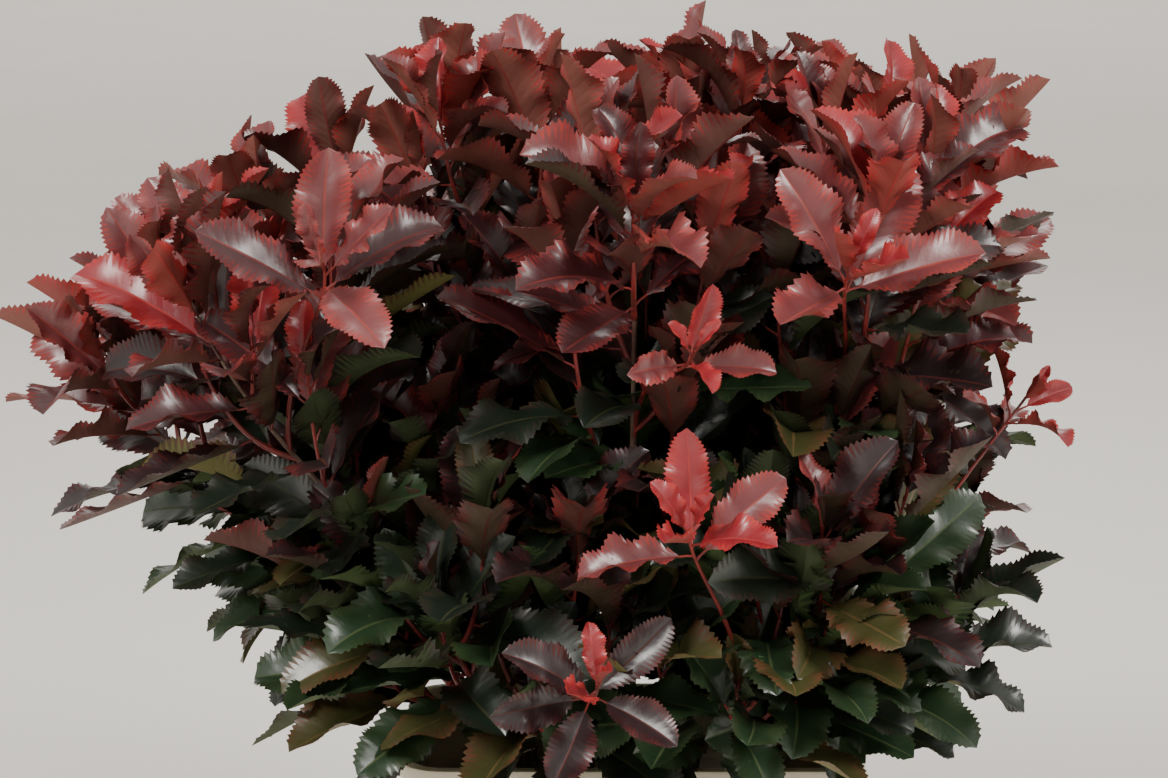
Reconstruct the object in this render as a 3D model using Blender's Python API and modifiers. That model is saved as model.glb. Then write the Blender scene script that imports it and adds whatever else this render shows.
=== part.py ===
"""Leafy red-tipped shrub cuttings standing in a cream plastic tub.

Lengths are in metres. +X is the viewer's right, +Y points away from the viewer, +Z is up, and the origin is the
centre of the tub's flat underside. Each cutting is a bare stem in the tub and one mass of twigs and leaves above it.
"""

import math
import random
from dataclasses import dataclass

import bmesh
import bpy
import numpy as np
from mathutils import Matrix, Vector

# The tub, outside sizes
TUB_LENGTH = 0.400
TUB_DEPTH = 0.300
TUB_HEIGHT = 0.250
TUB_WALL = 0.0025
TUB_TAPER = 0.018
TUB_CORNER = 0.030
CORNER_STEPS = 4
LEDGE_HEIGHT = 0.185
LEDGE_STEP = 0.003
LIP_WIDTH = 0.011
LIP_DROP = 0.013
HEEL_RADIUS = 0.006

# The wide part of the lip at each end of the tub, and the colour tab let into it
GRIP_LENGTH = 0.125
GRIP_WIDTH = 0.019
GRIP_THICKNESS = 0.006
TAB_LENGTH = 0.038
TAB_WIDTH = 0.009
TAB_DEPTH = 0.002

# Clearances
SEAT_GAP = 0.0003
SPACE_GAP = 0.005
RIM_CLEARANCE = 0.006
FLOOR_CLEARANCE = 0.10

# How the cuttings stand: where they cross the floor and the rim, and where their tips end
FLOOR_REACH = (0.120, 0.074)
RIM_REACH = (0.156, 0.112)
RIM_HEIGHT = TUB_HEIGHT
REACH_LEFT = 0.455
REACH_RIGHT = 0.265
REACH_FRONT = 0.265
REACH_BACK = 0.265
CROWN_TIP = 0.535
SHOULDER_DROP = 0.32
SHOULDER_POWER = 3.0
DEPTH_DROP = 0.10
TALL_ROWS = ((3, 0.80, -0.86), (4, 1.0, 0.0), (3, 0.80, 0.86))
TALL_ROW_CURVE = 0.30
TALL_SPREAD = (0.80, 0.60)
TALL_LIFT = 0.130
TALL_LEAN = 0.85
SHORT_COUNT = 4
SHORT_FIRST = 45
SHORT_REACH = (0.230, 0.270)
SHORT_SPREAD = (0.95, 1.05)
SHORT_TIP = 0.230
SHORT_LIFT = 0.100
SHORT_LEAN = 0.80
LOW_COUNT = 8
LOW_FIRST = 22.5
LOW_REACH = (0.225, 0.235)
LOW_SPREAD = (1.0, 1.0)
LOW_TIP = 0.085
LOW_LIFT = 0.030
LOW_LEAN = 0.60
VERTICAL_RUN = 0.012
STRAIGHT_RISE = 0.100
RIM_RISE = 0.012
RIM_PULL = 0.050
HEADING_PULL = 0.38
TIP_PULL = 0.16

# Bark and twigs
FOOT_RADIUS = 0.0055
ENTRY_RADIUS = 0.0042
TIP_RADIUS = 0.0022
TWIG_RADIUS = 0.0028
LEAF_START = 0.018
STEM_SIDES = 5
JOINT_RUN = 0.008
AXIS_SAMPLES = 61
SPACE_SAMPLES = 120
STEM_POINTS = 4
MASS_POINTS = 6
TWIG_POINTS = 4

# Shoots and leaves
SHOOTS_TALL = 4
SHOOTS_LOW = 2
SHOOT_LENGTH = 0.140
LOW_SHOOT = 0.7
SHOOT_FROM = 0.24
SHOOT_TO = 0.84
LEAF_SPACING = 0.032
LEAF_LENGTH = 0.128
LEAF_WIDTH = 0.54
LEAF_THICKNESS = 0.0016
LEAF_CLEARANCE = 0.008
ROOT_SHARE = 0.20
LEAF_FOLD = 0.15
LEAF_DROOP = 0.14
LEAF_MIDDLE = 0.50
LEAF_WIDEST = 0.54
SPREAD_LOW = 72
SPREAD_FALL = 44
SPREAD_VARIES = 8
TIP_SHARE = 0.985
SHOOT_BARE = 0.22
GOLDEN_ANGLE = math.radians(137.5)
TURNS_TRIED = (0, 30, -30, 60, -60, 90, -90, 130, -130, 180)
SIZES_TRIED = (1.0, 0.85, 0.7, 0.58)
SEED = 20

UP = Vector((0, 0, 1))


@dataclass
class Cutting:
    """One cut stem: its name, whether it is tall, its axis from foot to tip, and the share of it that is bare."""

    name: str
    tall: bool
    axis: np.ndarray
    entry: float


def clear_scene():
    for obj in list(bpy.data.objects):
        bpy.data.objects.remove(obj, do_unlink=True)


def new_collection(name, parent=None):
    collection = bpy.data.collections.new(name)
    (parent or bpy.context.scene.collection).children.link(collection)
    return collection


def material(name, colour, roughness):
    mat = bpy.data.materials.new(name)
    mat.use_nodes = True
    shader = mat.node_tree.nodes["Principled BSDF"]
    shader.inputs["Base Color"].default_value = (*colour, 1.0)
    shader.inputs["Roughness"].default_value = roughness
    shader.inputs["Metallic"].default_value = 0.0
    return mat


def add_mesh(name, mesh, collection, mat=None):
    obj = bpy.data.objects.new(name, mesh)
    collection.objects.link(obj)
    if mat:
        mesh.materials.append(mat)
    return obj


def mesh_from_bmesh(name, bm):
    bmesh.ops.recalc_face_normals(bm, faces=bm.faces)
    mesh = bpy.data.meshes.new(name)
    bm.to_mesh(mesh)
    bm.free()
    return mesh


def smooth(obj, angle=35):
    obj.data.shade_smooth()
    obj.data.set_sharp_from_angle(angle=math.radians(angle))


# The tub


def push_out(verts, half_length, half_depth, distance):
    """Moves points of a rounded rectangle outwards, along the straight sides' normals and the corners' radii."""
    for vert in verts:
        core_x = max(-half_length, min(half_length, vert.co.x))
        core_y = max(-half_depth, min(half_depth, vert.co.y))
        away = Vector((vert.co.x - core_x, vert.co.y - core_y, 0))
        vert.co += away.normalized() * distance


def tub_shell():
    """The tub's outer skin: floor, tapered wall, ledge, upper wall, lip and the lip's hanging edge."""
    half_length = TUB_LENGTH / 2 - LIP_WIDTH - LEDGE_STEP
    half_depth = TUB_DEPTH / 2 - LIP_WIDTH - LEDGE_STEP
    bm = bmesh.new()
    bmesh.ops.create_cube(bm, size=1.0)
    for vert in bm.verts:
        inset = 0 if vert.co.z > 0 else TUB_TAPER
        vert.co.x = math.copysign(half_length - inset, vert.co.x)
        vert.co.y = math.copysign(half_depth - inset, vert.co.y)
        vert.co.z = LEDGE_HEIGHT if vert.co.z > 0 else 0.0
    uprights = [e for e in bm.edges if abs(e.verts[0].co.z - e.verts[1].co.z) > LEDGE_HEIGHT / 2]
    bmesh.ops.bevel(bm, geom=uprights, offset=TUB_CORNER, segments=CORNER_STEPS, profile=0.5, affect="EDGES")
    heel = [e for e in bm.edges if all(v.co.z < 1e-6 for v in e.verts)]
    bmesh.ops.bevel(bm, geom=heel, offset=HEEL_RADIUS, segments=2, profile=0.5, affect="EDGES")
    top = [f for f in bm.faces if all(v.co.z > LEDGE_HEIGHT - 1e-6 for v in f.verts)]
    bmesh.ops.delete(bm, geom=top, context="FACES_ONLY")
    steps = (
        (LEDGE_STEP, 0.0),
        (0.0, TUB_HEIGHT - TUB_WALL - LEDGE_HEIGHT),
        (LIP_WIDTH - TUB_WALL, 0.0),
        (0.0, -LIP_DROP),
    )
    for outwards, upwards in steps:
        edge = [e for e in bm.edges if e.is_boundary]
        made = bmesh.ops.extrude_edge_only(bm, edges=edge)["geom"]
        verts = [g for g in made if isinstance(g, bmesh.types.BMVert)]
        push_out(verts, half_length - TUB_CORNER, half_depth - TUB_CORNER, outwards)
        bmesh.ops.translate(bm, verts=verts, vec=(0, 0, upwards))
    bmesh.ops.recalc_face_normals(bm, faces=bm.faces)
    if min(bm.faces, key=lambda f: f.calc_center_median().z).normal.z > 0:
        bmesh.ops.reverse_faces(bm, faces=bm.faces)
    mesh = bpy.data.meshes.new("tub")
    bm.to_mesh(mesh)
    bm.free()
    return mesh


def box(name, size, centre, collection, bevel=0.0):
    bm = bmesh.new()
    bmesh.ops.create_cube(bm, size=1.0)
    bmesh.ops.scale(bm, verts=bm.verts, vec=size)
    obj = add_mesh(name, mesh_from_bmesh(name, bm), collection)
    obj.location = centre
    if bevel:
        rounding = obj.modifiers.new("rounding", "BEVEL")
        rounding.width = bevel
        rounding.segments = 2
    return obj


def grip_centre(side):
    return Vector((side * (TUB_LENGTH / 2 - GRIP_WIDTH / 2 - LIP_WIDTH / 2), 0, TUB_HEIGHT - GRIP_THICKNESS / 2))


def tab_centre(side):
    """The tab lies in the front half of its grip, a little nearer the viewer than the tub's middle."""
    centre = grip_centre(side) + Vector((-side * 0.0025, -GRIP_LENGTH * 0.22, 0))
    centre.z = TUB_HEIGHT - TAB_DEPTH / 2
    return centre


def make_tub(parts, helpers):
    tub = add_mesh("tub", tub_shell(), parts, material("cream_plastic", (0.80, 0.70, 0.52), 0.42))
    wall = tub.modifiers.new("wall", "SOLIDIFY")
    wall.thickness = TUB_WALL
    wall.offset = -1.0
    wall.use_even_offset = True
    for side, label in ((-1, "left"), (1, "right")):
        plate = box(f"grip_{label}", (GRIP_WIDTH, GRIP_LENGTH, GRIP_THICKNESS), grip_centre(side), helpers, 0.002)
        pocket_size = (TAB_WIDTH + 2 * SEAT_GAP, TAB_LENGTH + 2 * SEAT_GAP, 2 * (TAB_DEPTH + SEAT_GAP))
        pocket = box(f"pocket_{label}", pocket_size, tab_centre(side), helpers)
        pocket.location.z = TUB_HEIGHT
        for helper, operation in ((plate, "UNION"), (pocket, "DIFFERENCE")):
            helper.hide_render = True
            helper.display_type = "WIRE"
            join = tub.modifiers.new(helper.name, "BOOLEAN")
            join.operation = operation
            join.object = helper
    smooth(tub)
    return tub


def make_tabs(parts):
    orange = material("orange_tab", (0.62, 0.13, 0.035), 0.45)
    for side, label in ((-1, "left"), (1, "right")):
        tab = box(f"tab_{label}", (TAB_WIDTH, TAB_LENGTH, TAB_DEPTH), tab_centre(side), parts)
        tab.data.materials.append(orange)


# Where the cuttings stand


def bezier(points, t):
    """Points of a cubic through its four control points, one row for each value of t."""
    t = np.asarray(t)[:, None]
    a, b, c, d = (np.asarray(p, float) for p in points)
    return (1 - t) ** 3 * a + 3 * (1 - t) ** 2 * t * b + 3 * (1 - t) * t**2 * c + t**3 * d


def evenly(points, count):
    """The same line with its points spaced evenly along it."""
    steps = np.linalg.norm(np.diff(points, axis=0), axis=1)
    along = np.concatenate([[0.0], np.cumsum(steps)])
    at = np.linspace(0.0, along[-1], count)
    return np.stack([np.interp(at, along, points[:, k]) for k in range(3)], axis=1)


def line_length(points):
    return float(np.linalg.norm(np.diff(points, axis=0), axis=1).sum())


def stem_axis(floor, rim, tip, lean, lift):
    """A stem rises from the floor, leans out as it passes the rim, and turns up again towards its tip.

    The lean is how steeply it passes the rim, and the lift is how far it rises in its last stretch.
    """
    start = np.array([floor[0], floor[1], TUB_WALL + SEAT_GAP])
    rise = start + np.array([0, 0, VERTICAL_RUN])
    crossing = np.array([rim[0], rim[1], RIM_HEIGHT + RIM_RISE])
    outward = np.array([tip[0] - rim[0], tip[1] - rim[1], 0.0])
    upward = np.array([0, 0, tip[2] - crossing[2]])
    heading = outward * (1.5 - lean) + upward * lean
    heading /= np.linalg.norm(heading)
    below_tip = np.array(tip) - outward * TIP_PULL - np.array([0, 0, lift])
    far = np.linalg.norm(np.array(tip) - crossing)
    share = np.linspace(0, 1, AXIS_SAMPLES)
    above_rise = rise + np.array([0, 0, STRAIGHT_RISE])
    lower = bezier((rise, above_rise, crossing - heading * RIM_PULL, crossing), share)
    upper = bezier((crossing, crossing + heading * far * HEADING_PULL, below_tip, tip), share)
    return np.vstack([start, evenly(np.vstack([lower, upper[1:]]), AXIS_SAMPLES)])


def reach(u, v):
    """How far out a tip goes, for a place u from left to right and v from front to back."""
    x = u * (REACH_LEFT if u < 0 else REACH_RIGHT)
    y = v * (REACH_FRONT if v < 0 else REACH_BACK)
    return x, y


def entry_of(axis):
    """The share of the axis below the leaves."""
    bare = np.searchsorted(axis[:, 2], RIM_HEIGHT + LEAF_START)
    return bare / (len(axis) - 1)


def across(u, v, size, spread=(1, 1)):
    return u * size[0] * spread[0], v * size[1] * spread[1]


def tall_cuttings(rng):
    """Rows of tall cuttings. The crown's shoulders fall away to the sides, and a little to front and back."""
    found = []
    for count, width, v in TALL_ROWS:
        for k in range(count):
            u = width * (2 * k / (count - 1) - 1)
            v_here = v * (1 - TALL_ROW_CURVE * abs(u) ** 2)
            drop = SHOULDER_DROP * abs(u) ** SHOULDER_POWER + DEPTH_DROP * abs(v_here) ** 2
            tip = (*reach(u, v_here), RIM_HEIGHT + CROWN_TIP * (1 - drop) * rng.uniform(0.97, 1.0))
            floor = across(u, v_here, FLOOR_REACH, TALL_SPREAD)
            rim = across(u, v_here, RIM_REACH, TALL_SPREAD)
            axis = stem_axis(floor, rim, tip, TALL_LEAN, TALL_LIFT)
            found.append(Cutting(f"tall_{len(found) + 1}", True, axis, entry_of(axis)))
    return found


def ring_cuttings(kind, rng, count, first, tips, spread, height, lean, lift):
    """A ring of shorter cuttings that lean out all round, from the first angle on."""
    found = []
    for k in range(count):
        angle = math.radians(first) + 2 * math.pi * k / count
        u, v = math.cos(angle), math.sin(angle)
        tip = (*across(u, v, tips), RIM_HEIGHT + height * rng.uniform(0.85, 1.15))
        floor, rim = across(u, v, FLOOR_REACH, spread), across(u, v, RIM_REACH, spread)
        axis = stem_axis(floor, rim, tip, lean, lift)
        found.append(Cutting(f"{kind}_{k + 1}", False, axis, entry_of(axis)))
    return found


def all_cuttings():
    rng = random.Random(SEED)
    short = (SHORT_COUNT, SHORT_FIRST, SHORT_REACH, SHORT_SPREAD, SHORT_TIP, SHORT_LEAN, SHORT_LIFT)
    low = (LOW_COUNT, LOW_FIRST, LOW_REACH, LOW_SPREAD, LOW_TIP, LOW_LEAN, LOW_LIFT)
    return tall_cuttings(rng) + ring_cuttings("short", rng, *short) + ring_cuttings("low", rng, *low)


class Spaces:
    """Which cutting a point belongs to: the one whose axis is nearest."""

    def __init__(self, cuttings):
        lines = [evenly(c.axis, SPACE_SAMPLES) for c in cuttings]
        self.points = np.concatenate(lines)
        self.owner = np.repeat(np.arange(len(cuttings)), SPACE_SAMPLES)

    def keeps(self, places, index):
        """True if every place is nearer to this cutting's axis than to any other, and clear of the tub."""
        low = places[:, 2] < RIM_HEIGHT + RIM_CLEARANCE
        over_length = abs(places[:, 0]) < TUB_LENGTH / 2 + RIM_CLEARANCE
        over_depth = abs(places[:, 1]) < TUB_DEPTH / 2 + RIM_CLEARANCE
        if (low & over_length & over_depth).any() or places[:, 2].min() < FLOOR_CLEARANCE:
            return False
        away = np.linalg.norm(self.points[None] - places[:, None], axis=2)
        own = away[:, self.owner == index].min(axis=1)
        other = away[:, self.owner != index].min(axis=1)
        return bool((own + SPACE_GAP < other).all())


# Twigs and leaves


@dataclass
class Twig:
    """A line of points with a radius at each end. A leader is the cutting's own stem."""

    points: np.ndarray
    start_radius: float
    end_radius: float
    leader: bool


@dataclass
class Leaf:
    root: Vector
    along: Vector
    face: Vector
    length: float
    width: float


def segment_at(points, share):
    """The number of the segment that holds this share of the line's length, and how far along it."""
    ends = np.cumsum(np.linalg.norm(np.diff(points, axis=0), axis=1))
    place = share * ends[-1]
    at = min(int(np.searchsorted(ends, place)), len(ends) - 1)
    before = ends[at - 1] if at else 0.0
    return at, (place - before) / (ends[at] - before)


def direction_at(points, share):
    at, _ = segment_at(points, share)
    return Vector(points[at + 1] - points[at]).normalized()


def point_at(points, share):
    at, part = segment_at(points, share)
    return Vector(points[at] + (points[at + 1] - points[at]) * part)


def sideways(axis, turn):
    """A unit vector square to the axis, turned about it. Turn 0 points away from the tub's middle line."""
    out = Vector((1, 0, 0)).cross(axis)
    out = out.normalized() if out.length > 1e-6 else Vector((0, 1, 0))
    return (Matrix.Rotation(turn, 3, axis) @ out).normalized()


def shoot_line(start, axis, turn, length):
    """A side shoot leaves its stem at an angle and curves up."""
    side = sideways(axis, turn)
    middle = start + (side * 0.62 + axis * 0.42) * length * 0.5
    end = middle + (side * 0.22 + axis * 0.3 + UP * 0.5).normalized() * length * 0.55
    share = np.linspace(0, 1, TWIG_POINTS)[:, None]
    a, b, c = (np.array(p) for p in (start, middle, end))
    return (1 - share) ** 2 * a + 2 * (1 - share) * share * b + share**2 * c


def joint_of(cutting):
    """Where the bare stem meets the leafy mass, and the stem's direction there."""
    at = int(round(cutting.entry * (len(cutting.axis) - 1)))
    along = cutting.axis[at + 1] - cutting.axis[at - 1]
    return cutting.axis[at], along / np.linalg.norm(along)


def leader_of(cutting):
    """The cutting's own stem from the joint to its tip, with a short straight run at the joint."""
    joint, along = joint_of(cutting)
    first = int(round(cutting.entry * (len(cutting.axis) - 1)))
    line = evenly(cutting.axis[first + 2 :], MASS_POINTS)
    line = np.vstack([joint + along * SEAT_GAP / 2, joint + along * JOINT_RUN, line])
    return Twig(line, ENTRY_RADIUS, TIP_RADIUS, True)


def side_shoots(leader, cutting, index, spaces, rng):
    found = []
    count = SHOOTS_TALL if cutting.tall else SHOOTS_LOW
    turn = rng.uniform(0, 2 * math.pi)
    for k in range(count):
        share = SHOOT_FROM + (SHOOT_TO - SHOOT_FROM) * (k + rng.uniform(0.2, 0.8)) / count
        start, axis = point_at(leader.points, share), direction_at(leader.points, share)
        turn += GOLDEN_ANGLE
        length = SHOOT_LENGTH * rng.uniform(0.8, 1.2) * (1.0 if cutting.tall else LOW_SHOOT)
        for more in TURNS_TRIED:
            line = shoot_line(start, axis, turn + math.radians(more), length)
            if spaces.keeps(line[1:], index):
                found.append(Twig(line, TWIG_RADIUS, TIP_RADIUS * 0.8, False))
                break
    return found


def leaf_corners(leaf):
    """The eight-faced leaf's six corners: root, left, right, tip, and the two faces' middles."""
    across = leaf.along.cross(leaf.face).normalized()
    middle = leaf.root + leaf.along * leaf.length * LEAF_MIDDLE
    widest = leaf.root + leaf.along * leaf.length * LEAF_WIDEST
    fold = leaf.face * leaf.width * LEAF_FOLD
    return (
        leaf.root,
        widest + across * leaf.width / 2 + fold,
        widest - across * leaf.width / 2 + fold,
        leaf.root + leaf.along * leaf.length - leaf.face * leaf.length * LEAF_DROOP,
        middle + leaf.face * LEAF_THICKNESS / 2,
        middle - leaf.face * LEAF_THICKNESS / 2,
    )


def leaf_places(leaf):
    """Places spread over the leaf, without those beside its root, which lie at its own twig."""
    root, left, right, tip, above, _ = leaf_corners(leaf)
    shares = [(i / 3, j / 3) for i in range(4) for j in range(4 - i)]
    found = {
        tuple(above + (a - above) * i + (b - above) * j)
        for a, b in ((root, left), (left, tip), (tip, right), (right, root))
        for i, j in shares
    }
    places = np.array(sorted(found))
    return places[np.linalg.norm(places - np.array(root), axis=1) > leaf.length * ROOT_SHARE]


def wood_places(twigs):
    """Places along the middle of every twig."""
    lines = [evenly(twig.points, 2 + int(line_length(twig.points) / LEAF_CLEARANCE)) for twig in twigs]
    return np.concatenate(lines)


def clear_of(places, taken):
    """True if every place keeps its distance from the mass's twigs and its other leaves."""
    return np.linalg.norm(taken[None] - places[:, None], axis=2).min() > LEAF_CLEARANCE


def place_leaf(twig, share, turn, spread, size, index, spaces, taken):
    """The first of a few turns and sizes that keeps the leaf clear and in its own space, or None."""
    root, axis = point_at(twig.points, share), direction_at(twig.points, share)
    for scale in SIZES_TRIED:
        for more in TURNS_TRIED:
            side = sideways(axis, turn + math.radians(more))
            along = (axis * math.cos(spread) + side * math.sin(spread)).normalized()
            face = (axis - along * axis.dot(along)).normalized()
            length = LEAF_LENGTH * size * scale
            leaf = Leaf(root, along, face, length, length * LEAF_WIDTH)
            places = leaf_places(leaf)
            if clear_of(places, taken) and spaces.keeps(places, index):
                return leaf
    return None


def leaves_on(twigs, index, spaces, rng):
    """Leaves stand on every twig in a spiral, wide open at the bottom and upright at the tip."""
    taken = wood_places(twigs)
    found = []
    for twig in twigs:
        count = max(3, round(line_length(twig.points) / LEAF_SPACING))
        turn = rng.uniform(0, 2 * math.pi)
        for k in range(count):
            share = (k + 0.75) / count
            if not twig.leader:
                share = SHOOT_BARE + (1 - SHOOT_BARE) * share
            turn += GOLDEN_ANGLE
            varies = rng.uniform(-SPREAD_VARIES, SPREAD_VARIES)
            spread = math.radians(SPREAD_LOW - SPREAD_FALL * share + varies)
            size = rng.uniform(0.85, 1.1)
            leaf = place_leaf(twig, min(share, TIP_SHARE), turn, spread, size, index, spaces, taken)
            if leaf:
                found.append(leaf)
                taken = np.concatenate([taken, leaf_places(leaf)])
    return found


# Solids


def tube(name, points, radii, sides, collection, helpers):
    """A closed mesh tube along the points. The section is a polygon with this many sides."""
    section = bpy.data.curves.new(f"{name}_section", "CURVE")
    ring = section.splines.new("POLY")
    ring.points.add(sides - 1)
    for k, point in enumerate(ring.points):
        angle = 2 * math.pi * k / sides
        point.co = (math.cos(angle), math.sin(angle), 0, 1)
    ring.use_cyclic_u = True
    section_obj = bpy.data.objects.new(f"{name}_section", section)
    helpers.objects.link(section_obj)

    line = bpy.data.curves.new(name, "CURVE")
    line.dimensions = "3D"
    line.bevel_mode = "OBJECT"
    line.bevel_object = section_obj
    line.use_fill_caps = True
    spline = line.splines.new("POLY")
    spline.points.add(len(points) - 1)
    for point, place, radius in zip(spline.points, points, radii):
        point.co = (*place, 1)
        point.radius = radius
    curve_obj = bpy.data.objects.new(name, line)
    collection.objects.link(curve_obj)
    bpy.context.view_layer.update()

    evaluated = curve_obj.evaluated_get(bpy.context.evaluated_depsgraph_get())
    mesh = bpy.data.meshes.new_from_object(evaluated)
    for helper in (curve_obj, section_obj):
        bpy.data.objects.remove(helper, do_unlink=True)
    bm = bmesh.new()
    bm.from_mesh(mesh)
    bmesh.ops.remove_doubles(bm, verts=bm.verts, dist=1e-6)
    bmesh.ops.recalc_face_normals(bm, faces=bm.faces)
    bm.to_mesh(mesh)
    bm.free()
    return add_mesh(name, mesh, collection)


def leaf_object(name, leaf, collection):
    """A folded lens: four faces above and four below, between the leaf's root, sides and tip."""
    bm = bmesh.new()
    root, left, right, tip, above, below = (bm.verts.new(c) for c in leaf_corners(leaf))
    for middle in (above, below):
        for pair in ((root, left), (left, tip), (tip, right), (right, root)):
            bm.faces.new((middle, *pair))
    return add_mesh(name, mesh_from_bmesh(name, bm), collection)


def fuse(base, pieces):
    """One union of the base with every object of the collection, applied, after which those objects go."""
    join = base.modifiers.new("union", "BOOLEAN")
    join.operation = "UNION"
    join.operand_type = "COLLECTION"
    join.collection = pieces
    join.solver = "MANIFOLD"
    bpy.context.view_layer.update()
    evaluated = base.evaluated_get(bpy.context.evaluated_depsgraph_get())
    mesh = bpy.data.meshes.new_from_object(evaluated)
    base.modifiers.clear()
    base.data = mesh
    for obj in list(pieces.objects):
        bpy.data.objects.remove(obj, do_unlink=True)
    bpy.data.collections.remove(pieces)


def make_stem(cutting, parts, helpers, bark):
    """The bare part of a cutting, from its cut foot on the tub's floor to where the leaves begin."""
    joint, along = joint_of(cutting)
    last = int(round(cutting.entry * (len(cutting.axis) - 1)))
    line = evenly(cutting.axis[1:last], STEM_POINTS)
    line = np.vstack([cutting.axis[0], line[:-1], joint - along * JOINT_RUN, joint - along * SEAT_GAP / 2])
    radii = np.linspace(FOOT_RADIUS, ENTRY_RADIUS, len(line))
    stem = tube(f"stem_{cutting.name}", line, radii, STEM_SIDES, parts, helpers)
    stem.data.materials.append(bark)
    smooth(stem, 60)


def make_mass(cutting, index, spaces, parts, helpers, looks):
    """The leafy part of a cutting: its leader, side shoots and leaves, fused into one solid."""
    rng = random.Random(SEED * 1000 + index)
    leader = leader_of(cutting)
    twigs = [leader, *side_shoots(leader, cutting, index, spaces, rng)]
    leaves = leaves_on(twigs, index, spaces, rng)

    radii = np.linspace(leader.start_radius, leader.end_radius, len(leader.points))
    mass = tube(f"foliage_{cutting.name}", leader.points, radii, STEM_SIDES, parts, helpers)
    pieces = new_collection(f"pieces_{cutting.name}")
    for k, twig in enumerate(twigs[1:]):
        radii = np.linspace(twig.start_radius, twig.end_radius, len(twig.points))
        tube(f"twig_{index}_{k}", twig.points, radii, 3, pieces, helpers)
    for k, leaf in enumerate(leaves):
        leaf_object(f"leaf_{index}_{k}", leaf, pieces)
    fuse(mass, pieces)
    mass.data.materials.clear()
    mass.data.materials.append(looks["tall" if cutting.tall else "low"])
    return len(leaves)


def main():
    clear_scene()
    parts = new_collection("shrub_cuttings_in_tub")
    helpers = new_collection("cutters")
    make_tub(parts, helpers)
    make_tabs(parts)
    cuttings = all_cuttings()
    spaces = Spaces(cuttings)
    bark = material("bark", (0.16, 0.05, 0.035), 0.6)
    looks = {
        "tall": material("red_foliage", (0.26, 0.055, 0.05), 0.35),
        "low": material("green_foliage", (0.045, 0.075, 0.035), 0.35),
    }
    total = 0
    for index, cutting in enumerate(cuttings):
        make_stem(cutting, parts, helpers, bark)
        total += make_mass(cutting, index, spaces, parts, helpers, looks)
    print(len(cuttings), "cuttings,", total, "leaves")


main()
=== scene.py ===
"""A full bunch of red-tipped shrub branches in a cream plastic tub, dressed for rendering.

Lengths are in metres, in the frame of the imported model: +X is the viewer's right, +Y points away, +Z is up.
"""

import math
import random
from dataclasses import dataclass

import bmesh
import bpy
import numpy as np
from bpy.props import FloatProperty, FloatVectorProperty, IntProperty, PointerProperty
from mathutils import Matrix, Vector


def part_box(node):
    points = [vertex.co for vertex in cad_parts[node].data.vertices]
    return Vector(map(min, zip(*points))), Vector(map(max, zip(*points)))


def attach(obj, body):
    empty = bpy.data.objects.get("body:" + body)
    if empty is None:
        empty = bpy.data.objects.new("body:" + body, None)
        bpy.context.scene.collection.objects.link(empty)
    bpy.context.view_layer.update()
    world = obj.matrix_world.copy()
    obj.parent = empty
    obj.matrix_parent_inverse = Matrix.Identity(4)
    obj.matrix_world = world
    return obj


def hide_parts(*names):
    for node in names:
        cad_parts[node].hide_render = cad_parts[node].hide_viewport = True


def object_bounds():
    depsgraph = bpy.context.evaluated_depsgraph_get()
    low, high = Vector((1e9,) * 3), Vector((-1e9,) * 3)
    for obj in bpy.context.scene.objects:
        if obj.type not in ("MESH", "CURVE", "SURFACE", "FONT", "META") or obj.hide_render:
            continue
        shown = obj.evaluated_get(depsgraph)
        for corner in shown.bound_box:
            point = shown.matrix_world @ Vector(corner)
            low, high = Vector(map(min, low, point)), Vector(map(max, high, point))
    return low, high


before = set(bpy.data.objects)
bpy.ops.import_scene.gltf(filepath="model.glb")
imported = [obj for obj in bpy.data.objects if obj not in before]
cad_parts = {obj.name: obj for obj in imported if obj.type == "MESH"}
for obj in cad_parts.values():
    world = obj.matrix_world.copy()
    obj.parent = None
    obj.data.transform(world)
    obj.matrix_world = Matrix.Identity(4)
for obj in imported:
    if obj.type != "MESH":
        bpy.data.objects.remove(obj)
CAD_BOX = [[float(value) for value in corner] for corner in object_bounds()]

bl_info = {
    "name": "Cut shrub branches in a tub",
    "version": (1, 0, 0),
    "blender": (4, 5, 0),
    "location": "View3D > Sidebar > Branches",
    "description": "Makes a tub of leafy cut branches, its materials, lights and camera",
    "category": "Add Mesh",
}

UP = Vector((0, 0, 1))
GOLDEN_ANGLE = math.radians(137.5)

# The tub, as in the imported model
RIM_HEIGHT = float(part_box("tub")[1][2])
TUB_WALL = 0.0025
FLOOR_TOP = 0.0028
LEDGE_HEIGHT = 0.185
RING_STEPS = 9
RIB_SPACING, RIB_WIDTH, RIB_OUT, RIB_TALL = 0.046, 0.0022, 0.0074, 0.0120
GRIP_LENGTH, GRIP_WIDTH, GRIP_THICK, GRIP_BARS = 0.125, 0.019, 0.0056, 6

# How the cuttings stand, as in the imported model
FLOOR_REACH = (0.120, 0.074)
RIM_REACH = (0.156, 0.112)
TALL_ROWS = ((3, 0.80, -0.86), (4, 1.0, 0.0), (3, 0.80, 0.86))
TALL_ROW_CURVE = 0.30
TALL_SPREAD = (0.80, 0.60)
TALL_LEAN, TALL_LIFT = 0.85, 0.130
SHORT_RING = (4, 45, (0.230, 0.270), (0.95, 1.05), 0.200, 0.70, 0.080)
LOW_RING = (8, 22.5, (0.225, 0.235), (1.0, 1.0), 0.085, 0.60, 0.030)
VERTICAL_RUN = 0.012
STRAIGHT_RISE = 0.100
RIM_RISE = 0.012
RIM_PULL = 0.050
HEADING_PULL = 0.38
TIP_PULL = 0.16
LEAF_START = 0.018
AXIS_SAMPLES = 61
CUTTING_SEED = 20

# The leaf's own grid
LEAF_ROWS = 21
LEAF_COLUMNS = (-1.0, -0.52, -0.05, 0.05, 0.52, 1.0)
REGIONS = ("top", "under", "rib", "edge")

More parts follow.
